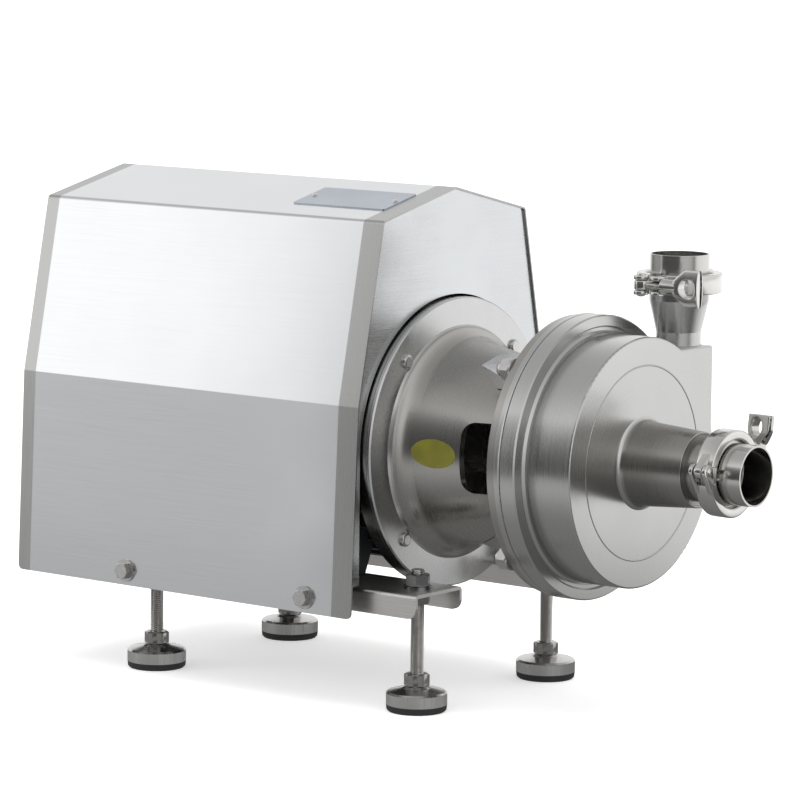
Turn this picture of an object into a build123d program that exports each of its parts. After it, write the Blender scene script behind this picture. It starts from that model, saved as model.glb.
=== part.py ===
from build123d import *
import os
from math import cos, radians, sin, sqrt, tan

# Driving dimensions in millimetres. The origin is on the floor under the middle of the pump.
# +X runs along the shaft to the suction port, +Z is up, and -Y is the side with the nameplate.
shaft_z = 217.0
rear_x = -345.0
suction_end_x = 345.0
sheet = 1.5

# Sheet-metal hood: half widths and heights of its folds
hood_front_x = 35.0
hood_bottom_z = 80.0
hood_shoulder_z = 258.5
hood_eave_z = 412.5
hood_ridge_z = 436.0
hood_bottom_y = 140.5
hood_shoulder_y = 132.5
hood_eave_y = 100.5

# Rails and levelling feet
rail_x = (-245.0, 92.0)
rail_y = 93.0
rail_width = 64.0
rail_top_z = 105.0
rail_depth = 20.5
foot_x = (69.5, -222.0)
foot_names = ("front", "rear")
side_names = {-1: "near", 1: "far"}

# Foot- and flange-mounted motor with a 112 mm shaft height over its feet
motor_face_x = 37.5
motor_rear_x = -198.0
motor_foot_x = (motor_face_x - 70, motor_face_x - 210)
motor_foot_y = 95.0
barrel_r = 96.0
fin_r = 107.0
flange_r = 125.0
flange_bolt_r = 107.5
motor_shaft_r = 14.0
motor_shaft_end_x = 90.0

# Pump head: back plate, casing ring, drum and nozzles
plate_x = (166.5, 172.0)
ring_x = (172.8, 187.7)
ring_r = 120.5
drum_r = 105.5
drum_front_x = 232.5
wall = 4.0
stud_r = 5.0
stud_ring_r = 112.0
nozzle_end_x = 290.5
outlet_x = 210.0
outlet_y = 83.0
outlet_top_z = 385.0

# Two-inch hygienic pipe ends, joined by a ferrule, a gasket and a clamp
pipe_r = 25.5
pipe_bore_r = 23.75
ferrule_r = 32.0
gasket_half = 0.8
inlet_joint_x = 316.5
outlet_joint_z = 361.0

# Pump rotor
impeller_r = 92.0
pump_shaft_r = 12.5

shaft_axis = Axis((0, 0, shaft_z), (1, 0, 0))
turning_plane = Plane(origin=(0, 0, shaft_z), x_dir=(1, 0, 0), z_dir=(0, -1, 0))
os.makedirs("parts", exist_ok=True)


def across(x):
    """The plane square to the shaft at x, centred on the shaft, with +Y as its x and +Z as its y."""
    return Plane(origin=(x, 0, shaft_z), x_dir=(0, 1, 0), z_dir=(1, 0, 0))


def corners(radius):
    """The four places at 45 degrees on a circle, for use in a plane square to the shaft."""
    reach = radius / sqrt(2)
    return [Pos(y, z, 0) for y in (-reach, reach) for z in (-reach, reach)]


def save(piece, label):
    """Names a finished piece and writes its file."""
    piece.label = label
    export_step(piece, f"parts/{label}.step")


def save_group(pieces, label):
    """Writes pieces that lie apart as one named group of separate solids."""
    solids = [solid for piece in pieces for solid in piece.solids()]
    save(Compound(children=solids), label)


def hex_nut(across_flats, bore_r, height):
    """A hexagon nut standing on the XY plane, its outer corners turned off."""
    with BuildPart() as nut:
        with BuildSketch():
            RegularPolygon(across_flats / 2, 6, major_radius=False)
        extrude(amount=height)
        with BuildSketch(Plane.XZ):
            corner_r = across_flats / sqrt(3)
            turned_off = corner_r - across_flats / 2
            Polygon((0, 0), (across_flats / 2, 0), (corner_r, turned_off * 0.6),
                    (corner_r, height - turned_off * 0.6), (across_flats / 2, height),
                    (0, height), align=None)
        revolve(axis=Axis.Z, mode=Mode.INTERSECT)
        if bore_r:
            Hole(bore_r)
    return nut.part


def hex_bolt(across_flats, head_height, shank_r, shank_length):
    """A hexagon bolt: its head stands on the XY plane and its shank runs down from it."""
    with BuildPart() as bolt:
        add(hex_nut(across_flats, 0, head_height))
        with BuildSketch():
            Circle(shank_r)
        extrude(amount=-shank_length)
        chamfer(bolt.edges().sort_by(Axis.Z)[0], 0.8)
    return bolt.part


def washer(outer_r, bore_r, height):
    """A plain round washer standing on the XY plane."""
    with BuildPart() as ring:
        with BuildSketch():
            Circle(outer_r)
            Circle(bore_r, mode=Mode.SUBTRACT)
        extrude(amount=height)
    return ring.part


# Hood cover: one sheet bent five times into a gable with an open underside
side_tilt = (hood_bottom_y - hood_shoulder_y) / (hood_shoulder_z - hood_bottom_z)
fold_r = 4.0
drawn_below = 20.0
drawn_y = hood_bottom_y + drawn_below * side_tilt
hood_folds = [(drawn_y, hood_bottom_z - drawn_below), (hood_shoulder_y, hood_shoulder_z),
              (hood_eave_y, hood_eave_z), (0, hood_ridge_z), (-hood_eave_y, hood_eave_z),
              (-hood_shoulder_y, hood_shoulder_z), (-drawn_y, hood_bottom_z - drawn_below)]


def hood_section(x, inset, bottom_z=hood_bottom_z):
    """The face inside the hood's outline in the plane at x, drawn inwards by inset, down to bottom_z."""
    with BuildSketch(Plane.YZ.offset(x)) as section:
        with BuildLine():
            FilletPolyline(*hood_folds, radius=fold_r)
            Line(hood_folds[-1], hood_folds[0])
        make_face()
        if inset:
            offset(amount=-inset, mode=Mode.REPLACE)
        with Locations((0, bottom_z)):
            Rectangle(3 * hood_bottom_y, bottom_z, align=(Align.CENTER, Align.MAX), mode=Mode.SUBTRACT)
    return section.sketch


boss_x = (-217.0, -15.5)
boss_z = 93.0
boss_side_y = hood_bottom_y - (boss_z - hood_bottom_z) * side_tilt


def boss_plane(x, side):
    """The plane on the hood's outer side face at a side bolt, facing outwards."""
    return Plane(origin=(x, side * boss_side_y, boss_z), x_dir=(1, 0, 0), z_dir=(0, side, side_tilt))


boss_planes = [boss_plane(x, side) for side in (-1, 1) for x in boss_x]
bolt_r = 4.0

with BuildPart() as hood_cover:
    extrude(hood_section(rear_x, 0), amount=hood_front_x - rear_x)
    inside = hood_section(rear_x, sheet, hood_bottom_z - sheet)
    extrude(inside, amount=hood_front_x - rear_x, mode=Mode.SUBTRACT)
    lower_corners = hood_cover.edges().filter_by(
        lambda edge: edge.length < 2 * sheet and edge.center().Z < hood_bottom_z + 1)
    fillet(lower_corners, 5)
    for plane in boss_planes:
        with BuildSketch(plane):
            Circle(bolt_r + 0.5)
        extrude(amount=-2 * sheet, both=True, mode=Mode.SUBTRACT)
save(hood_cover.part, "hood_cover")

# Hood end panels, set in from the cover's edges. The front one is an arch over the flange.
arch_r = 127.0
panel_inset = 2.0
panel_foot_z = 107.0

with BuildPart() as hood_front_panel:
    extrude(hood_section(hood_front_x - panel_inset - sheet, sheet, panel_foot_z), amount=sheet)
    with BuildSketch(across(hood_front_x - panel_inset - sheet)):
        Circle(arch_r)
        Rectangle(2 * arch_r, shaft_z, align=(Align.CENTER, Align.MAX))
    extrude(amount=sheet, mode=Mode.SUBTRACT)
save(hood_front_panel.part, "hood_front_panel")

vent_pitch = 15.0
vent_height = 6.0
vent_r = 100.0
with BuildPart() as hood_rear_panel:
    extrude(hood_section(rear_x + panel_inset, sheet), amount=sheet)
    with BuildSketch(across(rear_x + panel_inset)):
        for row in range(-6, 7):
            height = row * vent_pitch
            with Locations((0, height)):
                SlotOverall(2 * sqrt(vent_r ** 2 - height ** 2), vent_height)
    extrude(amount=sheet, mode=Mode.SUBTRACT)
save(hood_rear_panel.part, "hood_rear_panel")

# Side fastening: threaded bosses welded to the rails, and a bolt and washer at each
boss_r = 8.0
rail_side_y = rail_y + rail_width / 2
washer_height = 1.6
bosses = []
for plane, side in zip(boss_planes, (-1, -1, 1, 1)):
    with BuildPart() as boss:
        with BuildSketch(plane.offset(-sheet)):
            Circle(boss_r)
            Circle(bolt_r, mode=Mode.SUBTRACT)
        extrude(amount=-30)
        split(bisect_by=Plane(origin=(0, side * rail_side_y, 0), z_dir=(0, side, 0)))
    bosses.append(boss.part)
save_group(bosses, "hood_bosses")

bolt_length = 13.0
side_bolt = hex_bolt(13, 5.5, bolt_r, bolt_length)
side_washer = washer(10.0, bolt_r + 0.2, washer_height)
hood_bolts = [side_washer.moved(plane.location) for plane in boss_planes]
hood_bolts += [side_bolt.moved(plane.offset(washer_height).location) for plane in boss_planes]
save_group(hood_bolts, "hood_bolts")

# Rating plate: a blank plate on the near roof slope, held by two rivets
roof_slope = (hood_ridge_z - hood_eave_z) / hood_eave_y
plate_size = (100.0, 46.0)
plate_centre = (-36.0, -50.5)
plate_height = 1.0
rivet_offset = 44.0
roof_plane = Plane(origin=(plate_centre[0], plate_centre[1], hood_ridge_z + plate_centre[1] * roof_slope),
                   x_dir=(1, 0, 0), z_dir=(0, -roof_slope, 1))
with BuildPart() as nameplate:
    with BuildSketch(roof_plane):
        RectangleRounded(*plate_size, 2)
    extrude(amount=plate_height)
save(nameplate.part, "nameplate")

with BuildPart() as nameplate_rivets:
    with BuildSketch(roof_plane.offset(plate_height)):
        with Locations((-rivet_offset, 0), (rivet_offset, 0)):
            Circle(2.6)
    extrude(amount=1.2, taper=35)
save_group([nameplate_rivets.part], "nameplate_rivets")

# Rails: two channels folded from sheet, open side down, with a round hole at each foot
rail_sheet = 3.0
foot_stud_r = 6.0
motor_bolt_r = 5.0
for side, side_name in side_names.items():
    with BuildPart() as rail:
        with BuildSketch(Plane.YZ.offset(rail_x[0])):
            with BuildLine():
                edge_y = rail_width / 2
                floor_z = rail_top_z - rail_depth
                FilletPolyline((side * rail_y - edge_y, floor_z), (side * rail_y - edge_y, rail_top_z),
                               (side * rail_y + edge_y, rail_top_z), (side * rail_y + edge_y, floor_z),
                               radius=4)
                Line((side * rail_y + edge_y, floor_z), (side * rail_y - edge_y, floor_z))
            make_face()
            with Locations((side * rail_y, floor_z + (rail_depth - rail_sheet) / 2 - 1)):
                Rectangle(rail_width - 2 * rail_sheet, rail_depth - rail_sheet + 2, mode=Mode.SUBTRACT)
        extrude(amount=rail_x[1] - rail_x[0])
        free_corners = rail.edges().filter_by(Axis.Y).filter_by(
            lambda edge: edge.length < 2 * rail_sheet and edge.center().Z < floor_z + 1)
        fillet(free_corners, 9)
        with Locations(*[(x, side * rail_y, rail_top_z) for x in foot_x]):
            Hole(foot_stud_r + 0.5)
        with Locations(*[(x, side * motor_foot_y, rail_top_z) for x in motor_foot_x]):
            Hole(motor_bolt_r)
    save(rail.part, f"rail_{side_name}")

foot_places = {f"{foot_names[i]}_{side_names[side]}": (x, side * rail_y)
               for i, x in enumerate(foot_x) for side in (-1, 1)}
stud_nut = hex_nut(19, foot_stud_r + 0.05, 10)
stud_washer = washer(12, foot_stud_r + 0.3, 2)
rail_nuts = []
for x, y in foot_places.values():
    rail_nuts.append(stud_nut.moved(Location((x, y, rail_top_z + 2))))
    rail_nuts.append(stud_washer.moved(Location((x, y, rail_top_z))))
    rail_nuts.append(stud_nut.moved(Location((x, y, rail_top_z - rail_sheet - 10))))
save_group(rail_nuts, "rail_nuts")

# Levelling feet: threaded stud with its lock nut, pressed steel cap and rubber pad
pad_r = 26.0
cap_bottom_z = 6.0
cap_top_z = 21.0
stud_top_z = 121.0
stud_seat_z = 13.0
with BuildPart() as foot_stud:
    with BuildSketch(Plane.XY.offset(stud_seat_z)):
        Circle(foot_stud_r)
    extrude(amount=stud_top_z - stud_seat_z)
    chamfer(foot_stud.edges().sort_by(Axis.Z)[-1], 1)
with BuildPart() as foot_cap:
    with BuildSketch(Plane.XZ):
        Polygon((foot_stud_r, cap_top_z), (foot_stud_r, stud_seat_z), (pad_r - 2, stud_seat_z),
                (pad_r - 2, cap_bottom_z), (pad_r, cap_bottom_z), (pad_r, 15.5), (pad_r - 1.5, 17),
                (13, 19.5), (10.5, cap_top_z), align=None)
    revolve(axis=Axis.Z)
with BuildPart() as foot_pad:
    with BuildSketch(Plane.XZ):
        Polygon((0, 0), (pad_r - 2, 0), (pad_r - 0.5, 1.5), (pad_r, cap_bottom_z),
                (pad_r - 2, cap_bottom_z), (pad_r - 2, stud_seat_z), (0, stud_seat_z), align=None)
    revolve(axis=Axis.Z)
lock_nut = hex_nut(19, foot_stud_r, 11)
for name, (x, y) in foot_places.items():
    place = Location((x, y, 0))
    nut = lock_nut.moved(Location((x, y, cap_top_z)))
    save_group([foot_stud.part.moved(place), nut], f"foot_stud_{name}")
    save(foot_cap.part.moved(place), f"foot_cap_{name}")
    save(foot_pad.part.moved(place), f"foot_pad_{name}")

# Motor frame: a ribbed barrel with two feet, open at both ends
terminal_x = -90.0
terminal_side = 104.0
barrel_bore_r = 90.0
fin_count = 36
fin_thickness = 3.0
foot_pad_height = 12.0
foot_pad_width = 44.0
with BuildPart() as motor_frame:
    with BuildSketch(across(motor_rear_x)):
        Circle(barrel_r)
        with PolarLocations((fin_r + barrel_r) / 2 - 1, fin_count):
            Rectangle(fin_r - barrel_r + 2, fin_thickness)
        Circle(barrel_bore_r, mode=Mode.SUBTRACT)
    extrude(amount=motor_face_x - 20 - motor_rear_x)
    with BuildSketch(across(motor_rear_x + 5)):
        for side in (-1, 1):
            foot_bottom = rail_top_z - shaft_z
            Polygon((side * (motor_foot_y + foot_pad_width / 2 - 4), foot_bottom),
                    (side * (motor_foot_y - foot_pad_width / 2), foot_bottom),
                    (side * 58, -77), (side * 84, -60),
                    (side * (motor_foot_y + foot_pad_width / 2 - 4), foot_bottom + foot_pad_height),
                    align=None)
    extrude(amount=190)
    with BuildSketch(across(motor_rear_x)):
        Circle(barrel_bore_r)
    extrude(amount=motor_face_x - motor_rear_x, mode=Mode.SUBTRACT)
    with Locations(*[(x, side * motor_foot_y, rail_top_z) for x in motor_foot_x for side in (-1, 1)]):
        Cylinder(motor_bolt_r, 100, mode=Mode.SUBTRACT)
        with Locations((0, 0, foot_pad_height)):
            Cylinder(11, 30, align=(Align.CENTER, Align.CENTER, Align.MIN), mode=Mode.SUBTRACT)
    with BuildSketch(Plane.XY.offset(shaft_z + barrel_r - 4)):
        with Locations((terminal_x, 0)):
            Rectangle(terminal_side, terminal_side)
    extrude(amount=18)
    with BuildSketch(across(motor_rear_x)):
        Circle(barrel_bore_r)
    extrude(amount=motor_face_x - motor_rear_x, mode=Mode.SUBTRACT)
save(motor_frame.part, "motor_frame")

foot_bolt = hex_bolt(16, 6.4, motor_bolt_r, 26)
foot_nut = hex_nut(16, motor_bolt_r, 8)
foot_bolts = []
for x in motor_foot_x:
    for side in (-1, 1):
        top = Location((x, side * motor_foot_y, rail_top_z + foot_pad_height))
        under = Location((x, side * motor_foot_y, rail_top_z - rail_sheet - 8))
        foot_bolts += [foot_bolt.moved(top), foot_nut.moved(under)]
save_group(foot_bolts, "motor_foot_bolts")

# Terminal box on top of the motor: box, lid and cable gland
box_z = shaft_z + barrel_r + 14
box_height = 42.0
with BuildPart() as terminal_box:
    with BuildSketch(Plane.XY.offset(box_z)):
        with Locations((terminal_x, 0)):
            RectangleRounded(terminal_side, terminal_side, 8)
    extrude(amount=box_height)
    top_face = terminal_box.faces().sort_by(Axis.Z)[-1]
    offset(amount=-4, openings=top_face)
with BuildPart() as terminal_lid:
    with BuildSketch(Plane.XY.offset(box_z + box_height)):
        with Locations((terminal_x, 0)):
            RectangleRounded(terminal_side + 4, terminal_side + 4, 9)
    extrude(amount=8)
    fillet(terminal_lid.faces().sort_by(Axis.Z)[-1].edges(), 3)
with BuildPart() as cable_gland:
    gland_plane = Plane(origin=(terminal_x, terminal_side / 2, box_z + 20), x_dir=(1, 0, 0), z_dir=(0, 1, 0))
    with BuildSketch(gland_plane):
        RegularPolygon(14, 6, major_radius=False)
        Circle(7, mode=Mode.SUBTRACT)
    extrude(amount=12)
save_group([terminal_box.part, terminal_lid.part, cable_gland.part], "terminal_box")

# Stator and rotor
core_x = (-165.0, -25.0)
stator_bore_r = 58.0
with BuildPart() as stator_core:
    with BuildSketch(across(core_x[0])):
        Circle(barrel_bore_r)
        Circle(stator_bore_r, mode=Mode.SUBTRACT)
        with PolarLocations(stator_bore_r + 3, 24):
            Rectangle(8, 3, mode=Mode.SUBTRACT)
    extrude(amount=core_x[1] - core_x[0])
save(stator_core.part, "stator_core")

with BuildPart() as stator_winding:
    with BuildSketch(turning_plane):
        for x, out in ((core_x[0], -1), (core_x[1], 1)):
            with Locations((x + out * 12, 74)):
                RectangleRounded(24, 22, 6)
    revolve(axis=shaft_axis)
save_group([stator_winding.part], "stator_winding")

rotor_r = 57.4
rotor_shaft_r = 19.0
with BuildPart() as rotor_core:
    with BuildSketch(across(core_x[0] - 6)):
        Circle(rotor_r)
        Circle(rotor_shaft_r, mode=Mode.SUBTRACT)
    extrude(amount=core_x[1] - core_x[0] + 12)
    for x, out in ((core_x[0] - 6, -1), (core_x[1] + 6, 1)):
        with BuildSketch(across(x)):
            with PolarLocations(47, 8):
                Rectangle(14, 3)
        extrude(amount=out * 9)
save(rotor_core.part, "rotor_core")

# Motor shaft, which carries the cooling fan at its rear end, its two ball bearings and end shields
fan_x = (motor_rear_x - 47, motor_rear_x - 25)
fan_hub_r = 22.0
fan_disc_r = 80.0
fan_seat_r = 11.0
bearing_x = (motor_rear_x - 16, motor_face_x - 25)
bearing_width = 16.0
bearing_bore_r = 15.0
bearing_r = 31.0
key_plane = Plane.XY.offset(shaft_z + 10).shift_origin((66, 0, shaft_z + 10))
key_length = 40.0
with BuildPart() as motor_shaft:
    with BuildSketch(turning_plane):
        Polygon((fan_x[0], 0), (fan_x[0], fan_seat_r), (bearing_x[0] - 3, fan_seat_r),
                (bearing_x[0] - 3, bearing_bore_r),
                (bearing_x[0] + bearing_width, bearing_bore_r),
                (bearing_x[0] + bearing_width, rotor_shaft_r), (bearing_x[1], rotor_shaft_r),
                (bearing_x[1], bearing_bore_r), (bearing_x[1] + bearing_width, bearing_bore_r),
                (bearing_x[1] + bearing_width, motor_shaft_r), (motor_shaft_end_x, motor_shaft_r),
                (motor_shaft_end_x, 0), align=None)
    revolve(axis=shaft_axis)
    with BuildSketch(key_plane):
        SlotOverall(key_length, 8)
    extrude(amount=10, mode=Mode.SUBTRACT)

with BuildPart() as shaft_key:
    with BuildSketch(key_plane):
        SlotOverall(key_length, 8)
    extrude(amount=7)
save_group([motor_shaft.part, shaft_key.part], "motor_shaft")

ball_r = 3.0
ball_circle_r = 23.0
inner_rings = []
outer_rings = []
for x in bearing_x:
    middle = x + bearing_width / 2
    with BuildPart() as inner_ring:
        with BuildSketch(turning_plane):
            with Locations((middle, (bearing_bore_r + 21) / 2)):
                Rectangle(bearing_width, 21 - bearing_bore_r)
            with Locations((middle, ball_circle_r)):
                Circle(ball_r, mode=Mode.SUBTRACT)
        revolve(axis=shaft_axis)
    with BuildPart() as outer_ring:
        with BuildSketch(turning_plane):
            with Locations((middle, (bearing_r + 25) / 2)):
                Rectangle(bearing_width, bearing_r - 25)
            with Locations((middle, ball_circle_r)):
                Circle(ball_r + 0.08, mode=Mode.SUBTRACT)
        revolve(axis=shaft_axis)
    with BuildPart() as balls:
        with Locations(across(middle)):
            with PolarLocations(ball_circle_r, 8):
                Sphere(ball_r)
    inner_rings += [inner_ring.part, balls.part]
    outer_rings.append(outer_ring.part)
save_group(inner_rings, "bearing_inner_rings")
save_group(outer_rings, "bearing_outer_rings")

shield_hub_r = 40.0
flange_x = motor_face_x - 11.5
shield_x = motor_face_x - 20
with BuildPart() as drive_end_shield:
    with BuildSketch(turning_plane):
        Polygon((bearing_x[1] - 6, 24), (bearing_x[1] - 6, shield_hub_r), (shield_x - 4, shield_hub_r + 6),
                (shield_x, barrel_bore_r - 6), (shield_x - 6, barrel_bore_r - 5),
                (shield_x - 6, barrel_bore_r), (shield_x, barrel_bore_r), (shield_x, barrel_r),
                (flange_x, barrel_r + 4), (flange_x, flange_r), (motor_face_x, flange_r),
                (motor_face_x, 78), (motor_face_x - 6, 74), (motor_face_x - 6, 24),
                (bearing_x[1] + bearing_width, 24), (bearing_x[1] + bearing_width, bearing_r),
                (bearing_x[1], bearing_r), (bearing_x[1], 24), align=None)
    revolve(axis=shaft_axis)
    with BuildSketch(across(flange_x)):
        with PolarLocations(flange_bolt_r, 4, start_angle=45):
            Circle(bolt_r)
    extrude(amount=20, mode=Mode.SUBTRACT)
save(drive_end_shield.part, "drive_end_shield")

with BuildPart() as fan_end_shield:
    with BuildSketch(turning_plane):
        Polygon((bearing_x[0], bearing_r), (motor_rear_x, bearing_r), (motor_rear_x, 24),
                (motor_rear_x + 3, 24), (motor_rear_x + 3, shield_hub_r), (motor_rear_x - 8, 48),
                (motor_rear_x - 5, 86), (motor_rear_x + 6, 86), (motor_rear_x + 6, barrel_bore_r),
                (motor_rear_x, barrel_bore_r), (motor_rear_x, barrel_r + 4),
                (motor_rear_x - 8, barrel_r + 4), (bearing_x[0], 60), (bearing_x[0] - 5, 42),
                (bearing_x[0] - 5, 16), (bearing_x[0], 16), align=None)
    revolve(axis=shaft_axis)
save(fan_end_shield.part, "fan_end_shield")

# Cooling fan and its cowl
with BuildPart() as cooling_fan:
    with BuildSketch(across(fan_x[0])):
        Circle(fan_hub_r)
    extrude(amount=fan_x[1] - fan_x[0])
    with BuildSketch(across(fan_x[1])):
        Circle(fan_disc_r)
    extrude(amount=-3)
    with BuildSketch(across(fan_x[0])):
        with PolarLocations(47, 7):
            Rectangle(62, 3)
    extrude(amount=fan_x[1] - fan_x[0])
    with BuildSketch(across(fan_x[0])):
        Circle(fan_seat_r)
    extrude(amount=fan_x[1] - fan_x[0], mode=Mode.SUBTRACT)
save(cooling_fan.part, "cooling_fan")

cowl_x = (motor_rear_x - 82, motor_rear_x - 1)
cowl_sheet = 1.5
with BuildPart() as fan_cowl:
    with BuildSketch(across(cowl_x[0])):
        Circle(fin_r + cowl_sheet)
    extrude(amount=cowl_x[1] - cowl_x[0])
    fillet(fan_cowl.faces().sort_by(Axis.X)[0].edges(), 14)
    offset(amount=-cowl_sheet, openings=fan_cowl.faces().sort_by(Axis.X)[-1])
    with BuildSketch(across(cowl_x[0])):
        for radius in (28, 46, 64, 82):
            with PolarLocations(radius, 6, start_angle=radius):
                SlotArc(CenterArc((0, 0), radius, radius - 20, 40), 8)
    extrude(amount=3 * cowl_sheet, mode=Mode.SUBTRACT)
save(fan_cowl.part, "fan_cowl")

# Adapter: bolted to the motor flange, a cone with a window each side and a front flange
adapter_front_x = plate_x[0]
front_flange_thickness = 8.0
front_flange_x = adapter_front_x - front_flange_thickness
front_flange_r = 119.0
rear_flange_front_x = motor_face_x + 4.3
rim_ease = 1.2
cone_foot = (45.0, 98.5)
cone_end_x = front_flange_x - 8
window_size = (48.0, 60.0)
window_x = 125.0
tab_r = stud_ring_r - 11
tab_half_width = 13.0
tab_shoulder = 18.0
tab_tip = 37.0
with BuildPart() as adapter:
    with BuildSketch(turning_plane):
        with BuildLine():
            Polyline((motor_face_x, 84), (motor_face_x, flange_r - 0.5), (motor_face_x + 0.5, flange_r),
                     (rear_flange_front_x - rim_ease, flange_r), (rear_flange_front_x, flange_r - rim_ease),
                     (rear_flange_front_x, 101), cone_foot)
            FilletPolyline(cone_foot, (51, 89.5), (cone_end_x, 69), radius=18)
            Polyline((cone_end_x, 69), (front_flange_x, 78), (front_flange_x, front_flange_r - 0.8),
                     (front_flange_x + 0.8, front_flange_r), (adapter_front_x, front_flange_r),
                     (adapter_front_x, 50), (cone_end_x, 50), (cone_end_x, 62), (75, 78), (52, 82.5), (46, 84),
                     (motor_face_x, 84))
        make_face()
    revolve(axis=shaft_axis)
    with BuildSketch(Plane(origin=(window_x, 0, shaft_z), x_dir=(1, 0, 0), z_dir=(0, -1, 0))):
        RectangleRounded(*window_size, 11)
    extrude(amount=150, both=True, mode=Mode.SUBTRACT)
    for turn in (45, 135, 225, 315):
        outwards = (0, cos(radians(turn)), sin(radians(turn)))
        tab_plane = Plane(origin=(front_flange_x, tab_r * outwards[1], shaft_z + tab_r * outwards[2]),
                          x_dir=(1, 0, 0), z_dir=outwards)
        with BuildSketch(tab_plane):
            Polygon((1, -tab_half_width), (-tab_shoulder, -tab_half_width), (-tab_tip, 0),
                    (-tab_shoulder, tab_half_width), (1, tab_half_width), align=None)
        extrude(amount=-2)
    with BuildSketch(across(motor_face_x)):
        with PolarLocations(flange_bolt_r, 4, start_angle=45):
            Circle(bolt_r)
    extrude(amount=rear_flange_front_x - motor_face_x, mode=Mode.SUBTRACT)
    with BuildSketch(across(front_flange_x)):
        with PolarLocations(stud_ring_r, 4, start_angle=45):
            Circle(stud_r)
    extrude(amount=front_flange_thickness, mode=Mode.SUBTRACT)
save(adapter.part, "adapter")

low_head_r = 6.0
with BuildPart() as low_head_bolt:
    with BuildSketch():
        Circle(low_head_r)
    extrude(amount=3.2)
    fillet(low_head_bolt.edges().sort_by(Axis.Z)[-1], 2)
    with BuildSketch():
        Circle(bolt_r)
    extrude(amount=-15.5)
save_group([low_head_bolt.part.moved(across(rear_flange_front_x).location * corner)
            for corner in corners(flange_bolt_r)], "adapter_bolts")

# Back plate of the pump chamber, with the seal gland welded into its middle
edge_ease = 0.8
gland_r = 34.0
gland_x = plate_x[0] - 14
seat_r = 24.0
with BuildPart() as back_plate:
    with BuildSketch(turning_plane):
        Polygon((plate_x[0], gland_r), (plate_x[0], ring_r - edge_ease), (plate_x[0] + edge_ease, ring_r),
                (plate_x[1] - edge_ease, ring_r), (plate_x[1], ring_r - edge_ease), (plate_x[1], gland_r),
                align=None)
    revolve(axis=shaft_axis)
    with BuildSketch(across(plate_x[0])):
        with PolarLocations(stud_ring_r, 4, start_angle=45):
            Circle(stud_r)
    extrude(amount=plate_x[1] - plate_x[0], mode=Mode.SUBTRACT)
save(back_plate.part, "back_plate")

with BuildPart() as seal_gland:
    with BuildSketch(turning_plane):
        Polygon((gland_x, 15), (gland_x, 42), (plate_x[0], 42), (plate_x[0], gland_r), (plate_x[1], gland_r),
                (plate_x[1], seat_r), (gland_x + 6, seat_r), (gland_x + 6, 15), align=None)
    revolve(axis=shaft_axis)
save(seal_gland.part, "seal_gland")

seat_face_x = gland_x + 14
with BuildPart() as seal_seat:
    with BuildSketch(turning_plane):
        Polygon((gland_x + 6, 15), (gland_x + 6, seat_r), (seat_face_x, seat_r), (seat_face_x, 20),
                (seat_face_x + 1.5, 19), (seat_face_x + 1.5, 15), align=None)
    revolve(axis=shaft_axis)
save(seal_seat.part, "seal_seat")

# Pump rotor: a sleeve shaft keyed on the motor shaft, the seal's turning half and the impeller
impeller_x = (188.0, 194.0)
vane_front_x = 218.0
nut_x = 210.0
head_x = (seat_face_x + 1.6, 180.0)
with BuildPart() as pump_shaft:
    with BuildSketch(turning_plane):
        Polygon((48, motor_shaft_r), (48, 24), (98, 24), (104, 20), (112, pump_shaft_r + 1.5),
                (head_x[1], pump_shaft_r + 1.5), (head_x[1], pump_shaft_r), (nut_x, pump_shaft_r),
                (nut_x, 8), (nut_x + 12, 8), (nut_x + 12, 0), (motor_shaft_end_x + 0.5, 0),
                (motor_shaft_end_x + 0.5, motor_shaft_r), align=None)
    revolve(axis=shaft_axis)
    with BuildSketch(key_plane):
        SlotOverall(key_length, 8)
    extrude(amount=7, mode=Mode.SUBTRACT)
save(pump_shaft.part, "pump_shaft")

with BuildPart() as seal_head:
    with BuildSketch(turning_plane):
        Polygon((head_x[0], pump_shaft_r + 1.5), (head_x[0], 19), (head_x[0] + 3, 22), (head_x[1], 22),
                (head_x[1], pump_shaft_r + 1.5), align=None)
    revolve(axis=shaft_axis)
save(seal_head.part, "seal_head")

vane_count = 6
with BuildPart() as impeller:
    with BuildSketch(turning_plane):
        Polygon((head_x[1], pump_shaft_r), (head_x[1], 24), (impeller_x[0], 26), (impeller_x[0], impeller_r),
                (impeller_x[0] + 2.5, impeller_r), (impeller_x[1], 60), (nut_x - 8, 26), (nut_x, 20),
                (nut_x, pump_shaft_r), align=None)
    revolve(axis=shaft_axis)
    with BuildSketch(across(impeller_x[0])) as vanes:
        with BuildLine():
            vane_tip = (impeller_r * cos(radians(38)), -impeller_r * sin(radians(38)))
            inner_side = ThreePointArc((22, 6), (58, 2), vane_tip)
            outer_side = ThreePointArc((22, 9.6), (60, 5), (vane_tip[0] + 2.4, vane_tip[1] + 2.4))
            Line(inner_side @ 0, outer_side @ 0)
            Line(inner_side @ 1, outer_side @ 1)
        vane = make_face()
        for turn in range(1, vane_count):
            add(vane.rotate(Axis.Z, turn * 360 / vane_count))
    extrude(amount=vane_front_x - impeller_x[0])
    with BuildSketch(turning_plane):
        Polygon((vane_front_x - 12, impeller_r), (vane_front_x, 30), (vane_front_x + 5, 30),
                (vane_front_x + 5, impeller_r + 8), (impeller_x[0] - 1, impeller_r + 8),
                (impeller_x[0] - 1, impeller_r), align=None)
    revolve(axis=shaft_axis, mode=Mode.SUBTRACT)
save(impeller.part, "impeller")

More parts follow.
